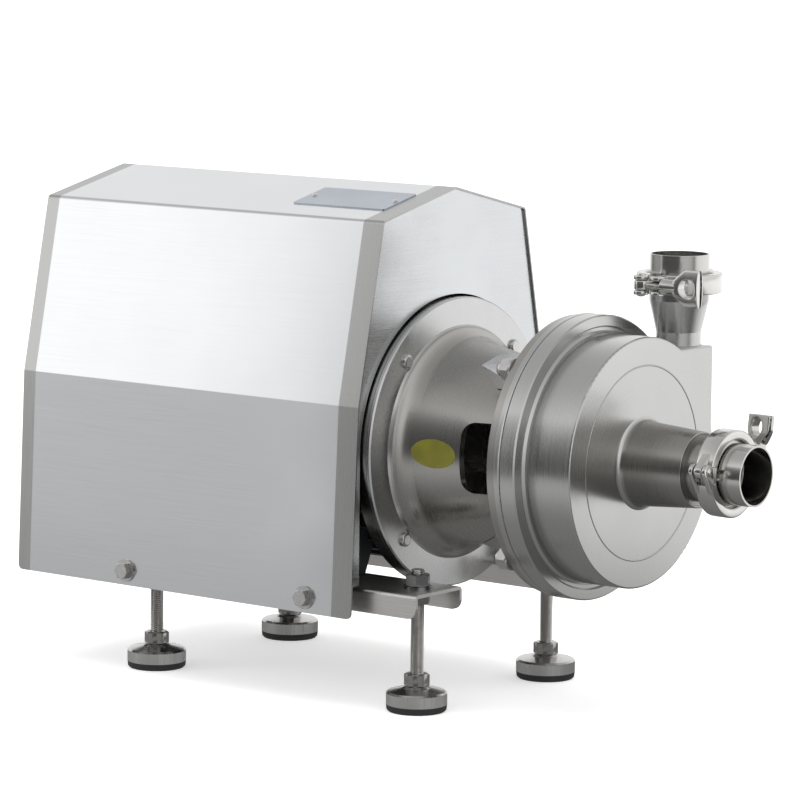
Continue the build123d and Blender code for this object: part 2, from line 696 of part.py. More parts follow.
with BuildPart() as impeller_nut:
    with BuildSketch(across(nut_x)):
        RegularPolygon(15, 6, major_radius=False)
        Circle(8, mode=Mode.SUBTRACT)
    extrude(amount=12)
    with BuildSketch(turning_plane):
        with BuildLine():
            Polyline((nut_x + 12, 0), (nut_x + 12, 15))
            ThreePointArc((nut_x + 12, 15), (nut_x + 19.5, 10.5), (nut_x + 24, 0))
            Line((nut_x + 24, 0), (nut_x + 12, 0))
        make_face()
    revolve(axis=shaft_axis)
save(impeller_nut.part, "impeller_nut")

# Casing: ring, drum, suction nozzle and the discharge box with its cone, welded into one
bowl_r = drum_r - wall
drum_edge_r = 1.5
groove_outer_r = 111.5
groove_depth = 1.5
nozzle_r = (35.5, 31.8)
neck_r = 26.2
box_side_y = outlet_y + 20
box_top_z = 307.0
cone_r = (19.2, pipe_r)
cone_z = (319.0, 346.0)
ferrule_rim = 2.8
ferrule_back = ferrule_rim + (ferrule_r - pipe_r) * tan(radians(20))
inlet_face_x = inlet_joint_x - gasket_half
outlet_face_z = outlet_joint_z - gasket_half
outlet_plane = Plane(origin=(outlet_x, outlet_y, 0), x_dir=(1, 0, 0), z_dir=(0, -1, 0))
outlet_axis = Axis((outlet_x, outlet_y, 0), (0, 0, 1))
with BuildPart() as casing:
    with BuildSketch(across(ring_x[1])):
        Circle(drum_r)
        Rectangle(box_side_y, box_top_z - shaft_z, align=Align.MIN)
    extrude(amount=drum_front_x - ring_x[1])
    fillet(casing.edges().filter_by(Axis.X).sort_by(Axis.Z)[-1], 3)
    fillet(casing.faces().sort_by(Axis.X)[-1].edges(), drum_edge_r)
    with BuildSketch(turning_plane):
        with BuildLine():
            Polyline((drum_front_x - 10, 0), (drum_front_x - 10, 39.5), (drum_front_x, 39.5))
            ThreePointArc((drum_front_x, 39.5), (drum_front_x + 1.6, 37), (drum_front_x + 5, nozzle_r[0]))
            Polyline((drum_front_x + 5, nozzle_r[0]), (nozzle_end_x, nozzle_r[1]), (nozzle_end_x, neck_r),
                     (inlet_face_x - ferrule_back, neck_r), (inlet_face_x - ferrule_rim, ferrule_r),
                     (inlet_face_x, ferrule_r), (inlet_face_x, 0), (drum_front_x - 10, 0))
        make_face()
        Polygon((ring_x[0], bowl_r - 4), (ring_x[0], ring_r - edge_ease), (ring_x[0] + edge_ease, ring_r),
                (ring_x[1] - rim_ease, ring_r), (ring_x[1], ring_r - rim_ease), (ring_x[1], groove_outer_r),
                (ring_x[1] - groove_depth, groove_outer_r - groove_depth),
                (ring_x[1] - groove_depth, drum_r + 2), (ring_x[1] + groove_depth, drum_r - 1),
                (ring_x[1] + 3, bowl_r - 4), align=None)
    revolve(axis=shaft_axis)
    with BuildSketch(outlet_plane):
        Polygon((0, box_top_z - 6), (cone_r[0], box_top_z - 6), (cone_r[0], cone_z[0]),
                (cone_r[1], cone_z[1]), (cone_r[1], outlet_face_z - ferrule_back),
                (ferrule_r, outlet_face_z - ferrule_rim), (ferrule_r, outlet_face_z), (0, outlet_face_z),
                align=None)
    revolve(axis=outlet_axis)
    with BuildSketch(turning_plane):
        Polygon((ring_x[0], 0), (ring_x[0], bowl_r), (drum_front_x - wall, bowl_r),
                (drum_front_x - wall, nozzle_r[0] - wall), (nozzle_end_x - 12, pipe_bore_r),
                (inlet_face_x, pipe_bore_r), (inlet_face_x, 0), align=None)
    revolve(axis=shaft_axis, mode=Mode.SUBTRACT)
    with BuildSketch(outlet_plane):
        channel_r = cone_r[0] - 2
        Polygon((0, shaft_z + 20), (channel_r, shaft_z + 20), (channel_r, cone_z[0]),
                (pipe_bore_r, cone_z[1]), (pipe_bore_r, outlet_face_z), (0, outlet_face_z), align=None)
    revolve(axis=outlet_axis, mode=Mode.SUBTRACT)
    with BuildSketch(across(ring_x[0])):
        with PolarLocations(stud_ring_r, 4, start_angle=45):
            Circle(stud_r)
    extrude(amount=10, mode=Mode.SUBTRACT)
save(casing.part, "casing")

with BuildPart() as casing_gasket:
    with BuildSketch(across(plate_x[1])):
        Circle(ring_r - 3)
        Circle(bowl_r, mode=Mode.SUBTRACT)
        with PolarLocations(stud_ring_r, 4, start_angle=45):
            Circle(stud_r + 0.3, mode=Mode.SUBTRACT)
    extrude(amount=ring_x[0] - plate_x[1])
save(casing_gasket.part, "casing_gasket")

# Four studs screwed into the casing ring, each with a washer and a domed cap nut behind
cap_nut_x = front_flange_x - 2
stud_length = ring_x[0] + 10 - cap_nut_x + 8
with BuildPart() as casing_stud:
    with BuildSketch():
        Circle(stud_r)
    extrude(amount=stud_length)
with BuildPart() as cap_nut:
    add(hex_nut(17, 0, 9))
    with BuildSketch(Plane.XY.offset(8)):
        Circle(7.6)
    extrude(amount=7)
    fillet(cap_nut.edges().sort_by(Axis.Z)[-1], 5)
    with BuildSketch():
        Circle(stud_r)
    extrude(amount=8, mode=Mode.SUBTRACT)
stud_washer = washer(9.5, stud_r + 0.2, 2)
save_group([casing_stud.part.moved(across(cap_nut_x - 8).location * corner)
            for corner in corners(stud_ring_r)], "casing_studs")
cap_nut_facing = Rot(0, 180, 0)
cap_nuts = []
for corner in corners(stud_ring_r):
    cap_nuts.append(cap_nut.part.moved(across(cap_nut_x).location * corner * cap_nut_facing))
    cap_nuts.append(stud_washer.moved(across(cap_nut_x).location * corner))
save_group(cap_nuts, "casing_nuts")

# Pipe ends: a short pipe with a ferrule, and a gasket between each pair of ferrules
with BuildPart() as gasket:
    with BuildSketch(Plane.XY.offset(-gasket_half)):
        Circle(ferrule_r - 1)
        Circle(pipe_bore_r, mode=Mode.SUBTRACT)
    extrude(amount=2 * gasket_half)


def pipe_end(length):
    """A pipe end standing on its gasket, its bore open, length from the middle of the gasket."""
    with BuildPart() as pipe:
        with BuildSketch(Plane.XZ):
            Polygon((pipe_bore_r, gasket_half), (ferrule_r, gasket_half),
                    (ferrule_r, gasket_half + ferrule_rim), (pipe_r, gasket_half + ferrule_back),
                    (pipe_r, length), (pipe_bore_r, length), align=None)
        revolve(axis=Axis.Z)
    return pipe.part


# Pipe clamp, drawn round +Z with its hinge at -X and its bolt at +X
clamp_r = 36.5
clamp_half_width = 9.75
clamp_mouth_r = 28.7
groove_r = 32.6
clamp_gap = 10.0
hinge_reach = 40.0
pin_r = 3.0
pivot = (44.0, -9.0)
seat_height = 22.0
eye_r = 6.0
knuckle_r = 6.5
cheek = (4.7, 9.4)
clamp_bolt_r = 4.0
bolt_reach = seat_height + 17
wing_foot = seat_height + 0.1
wing_hub = 14.0
wing_top = 59.0
wing_half_width = 15.5
wing_thickness = 9.0


def knuckle(centre, angle, low, high):
    """A hinge cheek: a round about centre drawn out to the band at angle, from height low to high."""
    band_r = (clamp_r + groove_r) / 2
    with BuildPart() as cheek_plate:
        with BuildSketch(Plane.XY.offset(low)):
            with Locations(centre):
                Circle(knuckle_r)
            with Locations((band_r * cos(radians(angle)), band_r * sin(radians(angle)))):
                Circle(1.6)
            make_hull()
        extrude(amount=high - low)
        Cylinder(groove_r, 40, mode=Mode.SUBTRACT)
        with Locations(centre):
            Cylinder(pin_r, 40, mode=Mode.SUBTRACT)
    return cheek_plate.part


def clamp_band(start):
    """Half of the clamp's grooved band, from the angle start, shorter than half a turn by the gaps."""
    with BuildPart() as band:
        with BuildSketch(Plane.XZ):
            Polygon((clamp_mouth_r, clamp_half_width), (clamp_mouth_r, 5), (groove_r, 3.7),
                    (groove_r, -3.7), (clamp_mouth_r, -5), (clamp_mouth_r, -clamp_half_width),
                    (clamp_r - 2, -clamp_half_width), (clamp_r, 2 - clamp_half_width),
                    (clamp_r, clamp_half_width - 2), (clamp_r - 2, clamp_half_width), align=None)
        revolve(axis=Axis.Z, revolution_arc=180 - 2 * clamp_gap)
    return band.part.rotate(Axis.Z, start + clamp_gap)


with BuildPart() as fork_half:
    add(clamp_band(0))
    add(knuckle((-hinge_reach, 0), 155, -4, 4))
    for low in (-cheek[1], cheek[0]):
        with BuildSketch(Plane.XY.offset(low)):
            Polygon((34, 4), (50, 4), (50, 20), (38, 20), (31, 16), (31.5, 7), align=None)
            with Locations(pivot):
                Circle(seat_height, mode=Mode.INTERSECT)
        extrude(amount=cheek[1] - cheek[0])

with BuildPart() as bolt_half:
    add(clamp_band(180))
    for low in (-cheek[1], 4.0):
        add(knuckle((-hinge_reach, 0), 205, low, low + cheek[1] - 4))
    for low in (-cheek[1], cheek[0]):
        add(knuckle(pivot, -34, low, low + cheek[1] - cheek[0]))

with BuildPart() as clamp_pin:
    Cylinder(pin_r, 2 * cheek[1] + 1)

with BuildPart() as clamp_bolt:
    with BuildSketch(Plane.XY.offset(-4.4)):
        Circle(eye_r)
    extrude(amount=8.8)
    with BuildSketch(Plane.XZ):
        Circle(clamp_bolt_r)
    extrude(amount=-bolt_reach)
    Cylinder(pin_r + 0.05, 20, mode=Mode.SUBTRACT)

with BuildPart() as wing_nut:
    with BuildSketch(Plane.XZ.offset(-wing_foot)):
        Circle(7.2)
    extrude(amount=-wing_hub, taper=6)
    with BuildSketch(Plane.XY.offset(-wing_thickness / 2)):
        with BuildLine():
            FilletPolyline((5.5, wing_foot + wing_hub - 2), (wing_half_width, wing_top - 14),
                           (wing_half_width, wing_top), (-wing_half_width, wing_top),
                           (-wing_half_width, wing_top - 14), (-5.5, wing_foot + wing_hub - 2), radius=1.5)
            Line((-5.5, wing_foot + wing_hub - 2), (5.5, wing_foot + wing_hub - 2))
        make_face()
    extrude(amount=wing_thickness)
    with BuildSketch(Plane.XY.offset(-wing_thickness / 2)):
        with Locations((0, wing_top - 10.5)):
            Circle(7.2)
    extrude(amount=wing_thickness, mode=Mode.SUBTRACT)
    with BuildSketch(Plane.XZ.offset(-wing_foot)):
        Circle(clamp_bolt_r + 0.05)
    extrude(amount=-(wing_top - 14 - wing_foot), mode=Mode.SUBTRACT)

# Each joint's clamp lies in a plane whose x runs from the hinge to the bolt. The wing stands
# square to the pipe at the suction port and along it at the discharge port.
inlet_clamp_turn = radians(8)
inlet_clamp = Plane(origin=(inlet_joint_x, 0, shaft_z), z_dir=(1, 0, 0),
                    x_dir=(0, cos(inlet_clamp_turn), -sin(inlet_clamp_turn)))
outlet_clamp = Plane(origin=(outlet_x, outlet_y, outlet_joint_z), x_dir=(0, -1, 0), z_dir=(0, 0, 1))
outlet_pipe = Plane(origin=(outlet_x, outlet_y, outlet_joint_z), x_dir=(1, 0, 0), z_dir=(0, 0, 1))
clamp_pins = []
for port, plane, wing_turn in (("inlet", inlet_clamp, 0), ("outlet", outlet_clamp, 90)):
    place = plane.location
    at_pivot = place * Pos(*pivot)
    save(fork_half.part.moved(place), f"{port}_clamp_fork_half")
    save(bolt_half.part.moved(place), f"{port}_clamp_bolt_half")
    save(clamp_bolt.part.moved(at_pivot), f"{port}_clamp_bolt")
    save(wing_nut.part.moved(at_pivot * Rot(0, wing_turn, 0)), f"{port}_wing_nut")
    clamp_pins.append(clamp_pin.part.moved(place * Pos(-hinge_reach, 0)))
    clamp_pins.append(clamp_pin.part.moved(at_pivot))
save_group(clamp_pins, "clamp_pins")
save_group([gasket.part.moved(inlet_clamp.location), gasket.part.moved(outlet_pipe.location)], "port_gaskets")
save(pipe_end(suction_end_x - inlet_joint_x).moved(inlet_clamp.location), "inlet_pipe_end")
save(pipe_end(outlet_top_z - outlet_joint_z).moved(outlet_pipe.location), "outlet_pipe_end")
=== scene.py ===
from math import cos, radians, sin

import bmesh
import bpy
import numpy as np
from mathutils import Matrix, Vector


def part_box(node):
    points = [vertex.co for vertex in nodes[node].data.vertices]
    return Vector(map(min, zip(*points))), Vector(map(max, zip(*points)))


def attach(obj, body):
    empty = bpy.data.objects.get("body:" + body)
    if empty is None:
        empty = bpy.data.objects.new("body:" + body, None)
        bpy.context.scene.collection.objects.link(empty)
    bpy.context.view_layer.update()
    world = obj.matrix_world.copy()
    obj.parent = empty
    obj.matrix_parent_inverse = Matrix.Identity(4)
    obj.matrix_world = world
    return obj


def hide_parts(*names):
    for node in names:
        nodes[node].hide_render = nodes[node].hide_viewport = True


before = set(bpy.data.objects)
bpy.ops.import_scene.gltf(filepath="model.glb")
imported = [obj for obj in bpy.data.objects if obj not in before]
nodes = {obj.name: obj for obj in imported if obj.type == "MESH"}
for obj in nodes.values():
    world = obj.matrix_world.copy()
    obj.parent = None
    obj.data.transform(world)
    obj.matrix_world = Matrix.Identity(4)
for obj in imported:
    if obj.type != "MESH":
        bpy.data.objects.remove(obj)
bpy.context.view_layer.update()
shaft_z = 0.217
along_shaft = (1, 0, 0)
upright = (0, 0, 1)


# Rails: the two folded channels that carry the whole pump, of 3 mm stainless sheet with a
# satin ground face. They are laser cut, folded and left with the grain of the sheet lengthwise.
def new_material(name, colour, metallic, roughness):
    """An empty finish: its material, node tree and shader, with the values that are the same all over."""
    material = bpy.data.materials.new(name)
    material.use_nodes = True
    shader = material.node_tree.nodes["Principled BSDF"]
    shader.inputs["Base Color"].default_value = (*colour, 1)
    shader.inputs["Metallic"].default_value = metallic
    shader.inputs["Roughness"].default_value = roughness
    return material, material.node_tree, shader


def wired(tree, kind, links=(), **values):
    """A node of that kind with its properties or sockets set and its inputs linked, by name or number."""
    node = tree.nodes.new(kind)
    for key, value in values.items():
        if hasattr(node, key):
            setattr(node, key, value)
        else:
            node.inputs[key.replace("_", " ").title()].default_value = value
    for socket, source in links:
        tree.links.new(source, node.inputs[socket])
    return node


def vector_step(tree, operation, first, second=None):
    """One vector sum of a node tree: operation on a linked vector and a fixed one."""
    node = wired(tree, "ShaderNodeVectorMath", [(0, first)], operation=operation)
    if second is not None:
        node.inputs[1].default_value = second
    return node.outputs["Value" if operation in ("LENGTH", "DOT_PRODUCT") else "Vector"]


def from_axis(tree, place, centre, axis):
    """Turned coordinates of a place: its distance along the axis and its radius from it. The second
    result is the direction round the axis."""
    offset = vector_step(tree, "SUBTRACT", place, centre)
    height = vector_step(tree, "DOT_PRODUCT", offset, axis)
    around = vector_step(tree, "CROSS_PRODUCT", offset, axis)
    radius = vector_step(tree, "LENGTH", around)
    turned = wired(tree, "ShaderNodeCombineXYZ", [(0, height), (1, radius)]).outputs[0]
    return turned, vector_step(tree, "NORMALIZE", around)


def spread(tree, value, low, high, start=0.3, end=0.7):
    """Maps a noise value from start..end to low..high."""
    node = wired(tree, "ShaderNodeMapRange", [("Value", value)])
    for socket, number in zip(("From Min", "From Max", "To Min", "To Max"), (start, end, low, high)):
        node.inputs[socket].default_value = number
    return node.outputs["Result"]


def grained_steel(name, colour, roughness, grain, axis=None, depth=0.00004, tint=0.12, uneven=0.07,
                  cloud=14):
    """Steel with a grain: noise drawn out along the grain shades its colour, roughness and height.
    grain gives the lines per metre along each axis, or along the axis and outwards where the part was
    turned about axis = (centre, direction). A second, cloudy noise makes the polish uneven."""
    material, tree, shader = new_material(name, colour, 1.0, roughness)
    place = wired(tree, "ShaderNodeTexCoord").outputs["Object"]
    lines_from = place
    if axis:
        lines_from, around = from_axis(tree, place, *axis)
        tree.links.new(around, shader.inputs["Tangent"])
        shader.inputs["Anisotropic"].default_value = 0.2
        shader.inputs["Anisotropic Rotation"].default_value = 0.25
    drawn = vector_step(tree, "MULTIPLY", lines_from, grain)
    lines = wired(tree, "ShaderNodeTexNoise", [("Vector", drawn)], Scale=1.0, Detail=5.0, Roughness=0.65)
    clouds = wired(tree, "ShaderNodeTexNoise", [("Vector", place)], Scale=cloud, Detail=3.0)
    dark, light = np.array(colour) * (1 - tint), np.minimum(np.array(colour) * (1 + tint), 1)
    shade = wired(tree, "ShaderNodeValToRGB", [("Fac", lines.outputs["Fac"])])
    shade.color_ramp.elements[0].position, shade.color_ramp.elements[1].position = 0.3, 0.7
    shade.color_ramp.elements[0].color = (*dark, 1)
    shade.color_ramp.elements[1].color = (*light, 1)
    tree.links.new(shade.outputs["Color"], shader.inputs["Base Color"])
    patchy = wired(tree, "ShaderNodeMath", [(0, lines.outputs["Fac"]), (1, clouds.outputs["Fac"])],
                   operation="ADD")
    rough = spread(tree, patchy.outputs[0], roughness - uneven, roughness + uneven, 0.7, 1.3)
    tree.links.new(rough, shader.inputs["Roughness"])
    bump = wired(tree, "ShaderNodeBump", [("Height", lines.outputs["Fac"])], Distance=depth)
    tree.links.new(bump.outputs["Normal"], shader.inputs["Normal"])
    return material


def dress(material, *names):
    """Gives CAD nodes a finish in their material slots."""
    for name in names:
        node = nodes[name]
        node.data.materials.clear()
        node.data.materials.append(material)


satin_sheet = grained_steel("satin_sheet_steel", (0.78, 0.765, 0.74), 0.34, (20, 900, 900),
                            tint=0.08)
dress(satin_sheet, "rail_near", "rail_far", "hood_bosses")

# Levelling feet: a rolled M12 stud with its lock nut, a pressed and polished steel cap, and a
# black rubber pad bonded into it. The stud screws through the rail and the nuts lock it there.
foot_places = {name: (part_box(f"foot_stud_{name}")[0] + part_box(f"foot_stud_{name}")[1]) / 2
               for name in ("front_near", "front_far", "rear_near", "rear_far")}


def grid_mesh(name, grids, closed=(False, True)):
    """One mesh over grids of points, each rows by columns by three: neighbours are joined by quads, and
    closed says whether the last row, and the last column, join the first. Doubled points at poles are
    merged and the faces turned outwards."""
    corners, quads, count = [], [], 0
    for grid in grids:
        rows, columns = grid.shape[:2]
        index = np.arange(rows * columns).reshape(rows, columns) + count
        index = np.vstack([index, index[:1]]) if closed[0] else index
        index = np.hstack([index, index[:, :1]]) if closed[1] else index
        around_each = [index[:-1, :-1], index[:-1, 1:], index[1:, 1:], index[1:, :-1]]
        quads.append(np.stack(around_each, -1).reshape(-1, 4))
        corners.append(grid.reshape(-1, 3))
        count += rows * columns
    corners, quads = np.concatenate(corners), np.concatenate(quads)
    mesh = bpy.data.meshes.new(name)
    mesh.vertices.add(len(corners))
    mesh.vertices.foreach_set("co", corners.astype(np.float32).ravel())
    mesh.loops.add(quads.size)
    mesh.loops.foreach_set("vertex_index", quads.astype(np.int32).ravel())
    mesh.polygons.add(len(quads))
    mesh.polygons.foreach_set("loop_start", np.arange(0, quads.size, 4, dtype=np.int32))
    mesh.update(calc_edges=True)
    shell = bmesh.new()
    shell.from_mesh(mesh)
    bmesh.ops.remove_doubles(shell, verts=shell.verts, dist=2e-6)
    bmesh.ops.recalc_face_normals(shell, faces=shell.faces)
    shell.to_mesh(mesh)
    shell.free()
    return mesh


def piece(name, grids, material, body, replaces=(), closed=(False, True), smooth=35):
    """A finished piece of the pump from its grids: meshed, given its finish and set on its body."""
    mesh = grid_mesh(name, grids, closed)
    mesh.materials.append(material)
    made = bpy.data.objects.new(name, mesh)
    bpy.context.scene.collection.objects.link(made)
    mesh.polygons.foreach_set("use_smooth", np.ones(len(mesh.polygons), bool))
    mesh.set_sharp_from_angle(angle=radians(smooth))
    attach(made, body)
    if replaces:
        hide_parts(*replaces)
    return made


def circle(steps):
    """The angles of one turn in that many equal steps, the last one short of the first."""
    return np.arange(steps) * 2 * np.pi / steps


def thread(low, high, radius, pitch, columns=24, rows_per_turn=6):
    """A rolled thread round +Z from low to high: the radius is a triangle wave of height over pitch less
    angle over a full turn, drawn in to a point at both ends so that the rod is closed."""
    depth = 0.66 * pitch
    flank = 1.25
    root = 0.1
    point = 0.8 * radius
    rows = int((high - low) / pitch * rows_per_turn)
    height = np.linspace(low, high, rows)[:, None]
    angle = circle(columns)[None, :]
    wave = np.abs((height / pitch - angle / (2 * np.pi)) % 1 * 2 - 1)
    reach = np.minimum(np.minimum(height - low, high - height) + point, radius)
    around = np.minimum(radius - depth * (1 - np.clip(flank * wave - root, 0, 1)), reach)
    rod = np.stack([around * np.cos(angle), around * np.sin(angle), height + 0 * angle], -1)
    ends = rod.mean(axis=1, keepdims=True) + 0 * rod
    return np.concatenate([ends[:1], rod, ends[-1:]])


def hexagon(low, high, flats, bore, columns=48):
    """A hexagon nut round +Z from low to high: its profile, turned off at the corners, is carried round
    the axis and cut back to the six flats, whose radius is half the flats over the cosine of the angle
    to the nearest one."""
    apothem = flats / 2
    corner = apothem / cos(radians(30))
    turned_off = 0.62 * (corner - apothem)
    face = 0.95 * apothem
    profile = np.array([(bore, low), (face, low), (corner, low + turned_off), (corner, high - turned_off),
                        (face, high), (bore, high)])
    angle = circle(columns)
    nearest = (angle + np.pi / 6) % (np.pi / 3) - np.pi / 6
    radius = np.minimum(profile[:, :1], (apothem / np.cos(nearest))[None, :])
    return np.stack([radius * np.cos(angle), radius * np.sin(angle), profile[:, 1:] + 0 * angle], -1)


def eased(loop, reach, steps=4):
    """A closed outline with rounded corners: each corner gives way to a parabola that leaves its two
    edges at reach from it, or at 45 hundredths of their length where they are short."""
    before, after = np.roll(loop, 1, 0) - loop, np.roll(loop, -1, 0) - loop
    start = loop + before * np.minimum(reach / np.linalg.norm(before, axis=1), 0.45)[:, None]
    end = loop + after * np.minimum(reach / np.linalg.norm(after, axis=1), 0.45)[:, None]
    t = np.linspace(0, 1, steps)[:, None, None]
    return ((1 - t) ** 2 * start + 2 * t * (1 - t) * loop + t ** 2 * end).transpose(1, 0, 2).reshape(-1, 2)


def slab(outline, low, high, ease=0.0006):
    """A plate of that outline between two heights: the outline is drawn in by a quarter circle of ease
    at both faces, and each face is closed to its middle."""
    middle = outline.mean(0)
    inward = (middle - outline) / np.linalg.norm(middle - outline, axis=1, keepdims=True)
    turn = np.linspace(0, np.pi / 2, 4)
    inset = ease * np.concatenate([1 - np.sin(turn), 1 - np.sin(turn[::-1])])
    height = np.concatenate([low + ease * (1 - np.cos(turn)), high - ease * (1 - np.cos(turn[::-1]))])
    rows = outline + inset[:, None, None] * inward
    rows = np.concatenate([0 * rows[:1] + middle, rows, 0 * rows[:1] + middle])
    height = np.concatenate([[low], height, [high]])
    return np.concatenate([rows, height[:, None, None] + 0 * rows[..., :1]], -1)


def turned_grid(profile, columns=96):
    """A profile of radius and height swung round +Z."""
    angle = circle(columns)
    radius, height = profile[:, :1], profile[:, 1:]
    return np.stack([radius * np.cos(angle), radius * np.sin(angle), height + 0 * angle], -1)


def carried(grid, origin, x_dir, z_dir):
    """A grid drawn about the origin, set in place: its numbers along x_dir, z_dir cross x_dir and z_dir,
    added to the new origin."""
    axes = np.array([x_dir, np.cross(z_dir, x_dir), z_dir], float)
    return np.array(origin) + grid @ axes


thread_steel = grained_steel("rolled_thread_steel", (0.70, 0.69, 0.67), 0.2, (300, 300, 300), tint=0.05,
                             depth=0.000002)
nut_steel = grained_steel("nut_steel", (0.50, 0.49, 0.47), 0.26, (1500, 1500, 1500), tint=0.06)
stud_radius = 0.006
stud_seat = 0.013
stud_top = 0.121
stud_pitch = 0.00175
lock_nut = (0.021, 0.032)
lock_nut_flats = 0.019
for name, centre in foot_places.items():
    foot = np.array((centre.x, centre.y, 0))
    stud = thread(stud_seat, stud_top, stud_radius, stud_pitch) + foot
    nut = hexagon(*lock_nut, lock_nut_flats, stud_radius) + foot
    piece(f"threaded_stud_{name}", [stud], thread_steel, f"foot_{name}",
          [f"foot_stud_{name}"])
    piece(f"lock_nut_{name}", [nut], nut_steel, f"foot_{name}",
          [f"foot_stud_{name}"], (True, True))

cap_rim_z = 0.0152
band_blur = 0.0004
ground_grain = (1200, 60, 25)


def ground_bands(material, edges, colour, roughness, axis="X"):
    """Bands below the first edge and above the second along an axis, ground dull across the grain.
    Their noise is drawn out upwards and stands in for the polish's colour and roughness there."""
    tree = material.node_tree
    shader = tree.nodes["Principled BSDF"]
    place = wired(tree, "ShaderNodeTexCoord").outputs["Object"]
    along = wired(tree, "ShaderNodeSeparateXYZ", [(0, place)]).outputs[axis]
    above = spread(tree, along, 0, 1, edges[1] - band_blur, edges[1] + band_blur)
    below = spread(tree, along, 1, 0, edges[0] - band_blur, edges[0] + band_blur)
    band = wired(tree, "ShaderNodeMath", [(0, above), (1, below)], operation="MAXIMUM").outputs[0]
    drawn = vector_step(tree, "MULTIPLY", place, ground_grain)
    lines = wired(tree, "ShaderNodeTexNoise", [("Vector", drawn)], Scale=1.0, Detail=5.0)
    ramp = wired(tree, "ShaderNodeValToRGB", [("Fac", lines.outputs["Fac"])])
    ramp.color_ramp.elements[0].color = (*(np.array(colour) * 0.85), 1)
    ramp.color_ramp.elements[1].color = (*(np.array(colour) * 1.15), 1)
    dull = spread(tree, lines.outputs["Fac"], roughness - 0.04, roughness + 0.04)
    for socket, ground, kind, end_type in (("Base Color", ramp.outputs["Color"], "RGBA", "RGBA"),
                                           ("Roughness", dull, "FLOAT", "VALUE")):
        polished = shader.inputs[socket].links[0].from_socket
        mix = wired(tree, "ShaderNodeMix", [(0, band)], data_type=kind)
        ends = [end for end in mix.inputs if end.type == end_type and end.name in "AB"]
        tree.links.new(polished, ends[0])
        tree.links.new(ground, ends[1])
        result = [out for out in mix.outputs if out.type == end_type and out.enabled][0]
        tree.links.new(result, shader.inputs[socket])


polished_cap = grained_steel("polished_cap_steel", (0.60, 0.595, 0.58), 0.24, (1300, 1300, 40),
                             tint=0.12, uneven=0.06, depth=0.00002)
ground_bands(polished_cap, (cap_rim_z, 1), (0.80, 0.80, 0.78), 0.3, "Z")
dress(polished_cap, *[f"foot_cap_{name}" for name in foot_places])


def moulded_rubber(name, colour, roughness, scale):
    """Rubber with a fine moulded skin: two noises raise the surface and change its sheen a little."""
    material, tree, shader = new_material(name, colour, 0.0, roughness)
    place = wired(tree, "ShaderNodeTexCoord").outputs["Object"]
    skin = wired(tree, "ShaderNodeTexNoise", [("Vector", place)], Scale=scale, Detail=4.0)
    sheen = spread(tree, skin.outputs["Fac"], roughness - 0.08, roughness + 0.08)
    tree.links.new(sheen, shader.inputs["Roughness"])
    shade = wired(tree, "ShaderNodeValToRGB", [("Fac", skin.outputs["Fac"])])
    shade.color_ramp.elements[0].color = (*(np.array(colour) * 0.7), 1)
    shade.color_ramp.elements[1].color = (*(np.array(colour) * 1.5), 1)
    tree.links.new(shade.outputs["Color"], shader.inputs["Base Color"])
    bump = wired(tree, "ShaderNodeBump", [("Height", skin.outputs["Fac"])], Distance=0.00008)
    tree.links.new(bump.outputs["Normal"], shader.inputs["Normal"])
    return material


pad_rubber = moulded_rubber("pad_rubber", (0.018, 0.018, 0.019), 0.5, 1400)
dress(pad_rubber, *[f"foot_pad_{name}" for name in foot_places])
dark_nut = grained_steel("dark_nut_steel", (0.24, 0.24, 0.245), 0.24, (1500, 1500, 1500), tint=0.06)
dress(dark_nut, "rail_nuts", "motor_foot_bolts")

# Motor: a painted cast frame with cooling fins, end shields, fan and cowl, under the hood. Only a
# thin arc of its dark flange shows from outside, so its finishes are plain workshop ones.
motor_paint = moulded_rubber("motor_paint", (0.03, 0.032, 0.036), 0.42, 500)
dress(motor_paint, "motor_frame", "fan_end_shield", "fan_cowl", "terminal_box", "cooling_fan")
shaft_line = ((0, 0, shaft_z), along_shaft)
turned_flange = grained_steel("turned_flange_steel", (0.44, 0.43, 0.42), 0.26, (1400, 1400, 0), shaft_line,
                              tint=0.05)
dress(turned_flange, "drive_end_shield")
turned_bar = grained_steel("turned_bar_steel", (0.50, 0.49, 0.48), 0.24, (900, 900, 0), shaft_line)
dress(turned_bar, "motor_shaft", "pump_shaft", "bearing_inner_rings", "bearing_outer_rings", "rotor_core")
core_steel = grained_steel("stacked_core_steel", (0.28, 0.28, 0.29), 0.45, (1600, 20, 20))
dress(core_steel, "stator_core")
winding_copper = grained_steel("varnished_winding", (0.45, 0.19, 0.07), 0.4, (20, 700, 0), shaft_line)
dress(winding_copper, "stator_winding")

# Hood: one polished sheet bent into a gable, with its end panels, bolts and blank rating plate.
# The ends of the sheet carry a duller ground band where the welds of the panels were dressed.
hood_steel = grained_steel("polished_hood_steel", (0.69, 0.70, 0.71), 0.17, (14, 1100, 1100), tint=0.03,
                           uneven=0.03, depth=0.000006)
hood_bands = (-0.331, 0.014)
ground_bands(hood_steel, hood_bands, (0.46, 0.46, 0.455), 0.3)
dress(hood_steel, "hood_cover")
panel_steel = grained_steel("hood_panel_steel", (0.655, 0.67, 0.685), 0.25, (1100, 14, 1100), tint=0.02,
                            depth=0.000002)
dress(panel_steel, "hood_front_panel", "hood_rear_panel")
bolt_steel = grained_steel("hood_bolt_steel", (0.60, 0.59, 0.58), 0.25, (300, 300, 300), tint=0.1)
dress(bolt_steel, "hood_bolts", "nameplate_rivets")
plate_metal = grained_steel("blank_plate_metal", (0.50, 0.54, 0.60), 0.34, (40, 900, 900), tint=0.08)
dress(plate_metal, "nameplate")

